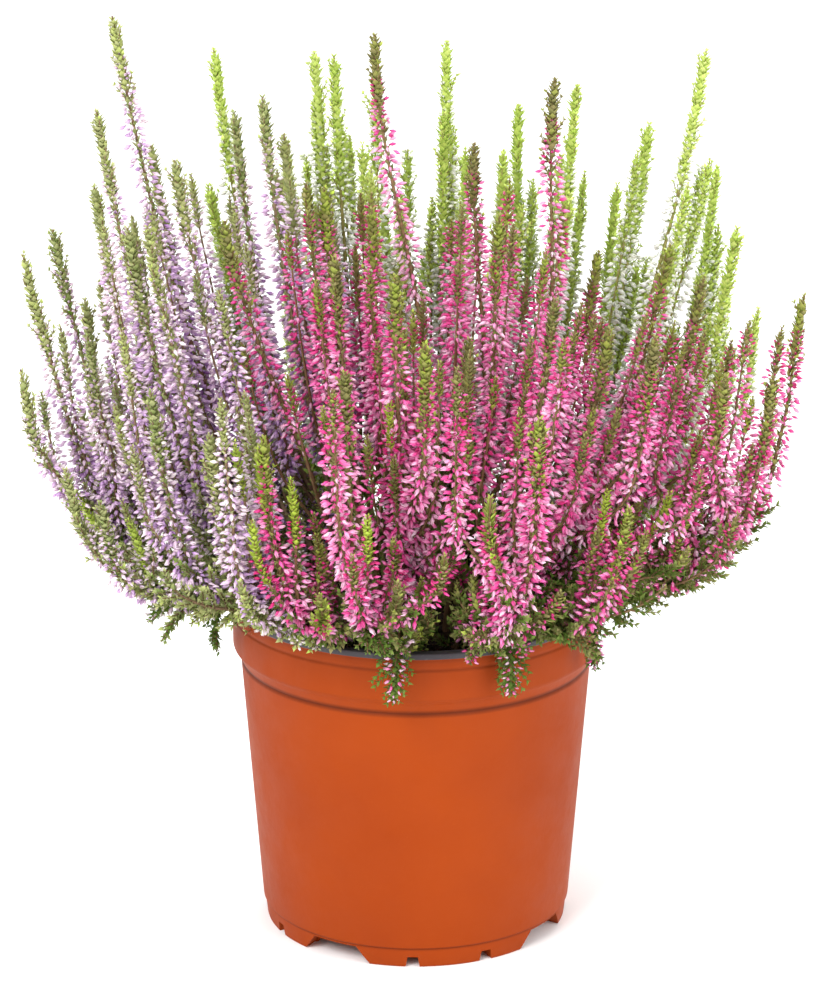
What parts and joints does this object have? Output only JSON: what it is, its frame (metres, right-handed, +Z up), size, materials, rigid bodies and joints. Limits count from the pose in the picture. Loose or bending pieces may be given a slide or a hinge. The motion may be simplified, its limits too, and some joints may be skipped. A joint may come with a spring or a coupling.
{
  "type": "potted heather",
  "caption": "Bushy heather in a round nursery pot: upright spikes of mauve, white and magenta florets with leafy tips spreading wider than the pot.",
  "frame": {"origin": "on the ground, under the pot's axis and under the middle of the whole object's box", "axes": "+Z up along the pot's axis, +X to the right and -Y to the front of the plant, where the magenta spikes are; the bush is wider along X than along Y"},
  "size_m": [0.2696, 0.2148, 0.325],
  "materials": {
    "pot_plastic": "satin orange plastic, dark grey inside and on the lip",
    "potting_soil": "rough dark brown compost",
    "mauve_heather": "matte mauve florets, olive green leaves",
    "white_heather": "matte greenish white florets, lime green leaves",
    "magenta_heather": "matte magenta florets, green and brown leaves",
    "green_leaves": "matte green scale leaves"
  },
  "bodies": {
    "root": {"pot": "pot_plastic", "soil": "potting_soil", "mauve_spray_01": "mauve_heather", "mauve_spray_02": "mauve_heather", "mauve_spray_03": "mauve_heather", "mauve_spray_04": "mauve_heather", "mauve_spray_05": "mauve_heather", "mauve_spray_06": "mauve_heather", "mauve_spray_07": "mauve_heather", "mauve_spray_08": "mauve_heather", "mauve_spray_09": "mauve_heather", "mauve_spray_10": "mauve_heather", "mauve_spray_11": "mauve_heather", "mauve_spray_12": "mauve_heather", "mauve_spray_13": "mauve_heather", "mauve_spray_14": "mauve_heather", "mauve_spray_15": "mauve_heather", "mauve_spray_16": "mauve_heather", "white_spray_01": "white_heather", "white_spray_02": "white_heather", "white_spray_03": "white_heather", "white_spray_04": "white_heather", "white_spray_05": "white_heather", "white_spray_06": "white_heather", "white_spray_07": "white_heather", "white_spray_08": "white_heather", "white_spray_09": "white_heather", "white_spray_10": "white_heather", "white_spray_11": "white_heather", "white_spray_12": "white_heather", "white_spray_13": "white_heather", "white_spray_14": "white_heather", "white_spray_15": "white_heather", "magenta_spray_01": "magenta_heather", "magenta_spray_02": "magenta_heather", "magenta_spray_03": "magenta_heather", "magenta_spray_04": "magenta_heather", "magenta_spray_05": "magenta_heather", "magenta_spray_06": "magenta_heather", "magenta_spray_07": "magenta_heather", "magenta_spray_08": "magenta_heather", "magenta_spray_09": "magenta_heather", "magenta_spray_10": "magenta_heather", "magenta_spray_11": "magenta_heather", "magenta_spray_12": "magenta_heather", "magenta_spray_13": "magenta_heather", "magenta_spray_14": "magenta_heather", "magenta_spray_15": "magenta_heather", "magenta_spray_16": "magenta_heather", "magenta_spray_17": "magenta_heather", "magenta_spray_18": "magenta_heather", "magenta_spray_19": "magenta_heather", "leafy_sprig_01": "green_leaves", "leafy_sprig_02": "green_leaves", "leafy_sprig_03": "green_leaves", "leafy_sprig_04": "green_leaves", "leafy_sprig_05": "green_leaves", "leafy_sprig_06": "green_leaves", "leafy_sprig_07": "green_leaves", "leafy_sprig_08": "green_leaves"}
  },
  "joints": []
}
